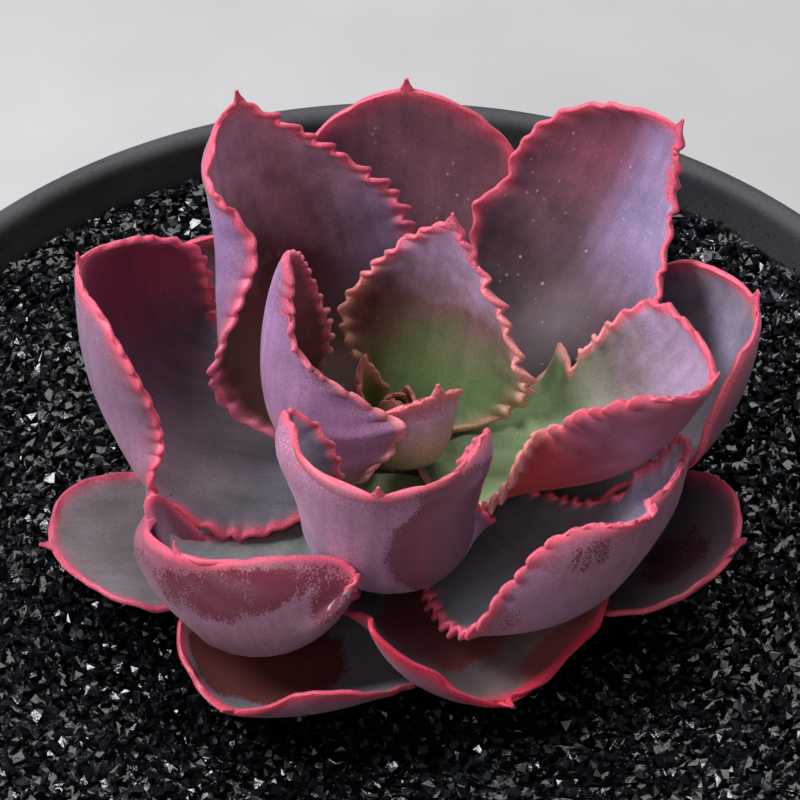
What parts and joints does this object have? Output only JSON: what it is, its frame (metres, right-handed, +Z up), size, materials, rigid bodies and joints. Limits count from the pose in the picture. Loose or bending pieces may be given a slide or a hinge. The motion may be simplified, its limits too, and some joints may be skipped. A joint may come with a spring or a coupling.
{
  "type": "potted echeveria",
  "caption": "Frilled echeveria: a rosette of broad cupped leaves with waved pink margins, in black angular gravel in a plain shallow footed pot.",
  "frame": {"origin": "centre of the underside of the pot's foot ring, on the floor", "axes": "+Z up along the pot's and the stem's axis, -Y towards the side from which the picture was taken, +X to its right"},
  "size_m": [0.256, 0.256, 0.156],
  "materials": {
    "stoneware": "matte",
    "potting_soil": "matte",
    "black_gravel": "gloss",
    "corky_stem": "matte",
    "young_leaf": "satin",
    "grown_leaf": "satin",
    "old_leaf": "satin"
  },
  "bodies": {
    "root": {"pot": "stoneware", "soil": "potting_soil", "gravel": "black_gravel", "stem": "corky_stem", "heart": "young_leaf", "leaf_01": "young_leaf", "leaf_02": "young_leaf", "leaf_03": "young_leaf", "leaf_04": "grown_leaf", "leaf_05": "grown_leaf", "leaf_06": "grown_leaf", "leaf_07": "grown_leaf", "leaf_08": "grown_leaf", "leaf_09": "grown_leaf", "leaf_10": "grown_leaf", "leaf_11": "grown_leaf", "leaf_12": "grown_leaf", "leaf_13": "old_leaf", "leaf_14": "old_leaf", "leaf_15": "old_leaf", "leaf_16": "old_leaf", "leaf_17": "old_leaf", "leaf_18": "old_leaf", "leaf_19": "old_leaf", "leaf_20": "old_leaf"}
  },
  "joints": []
}
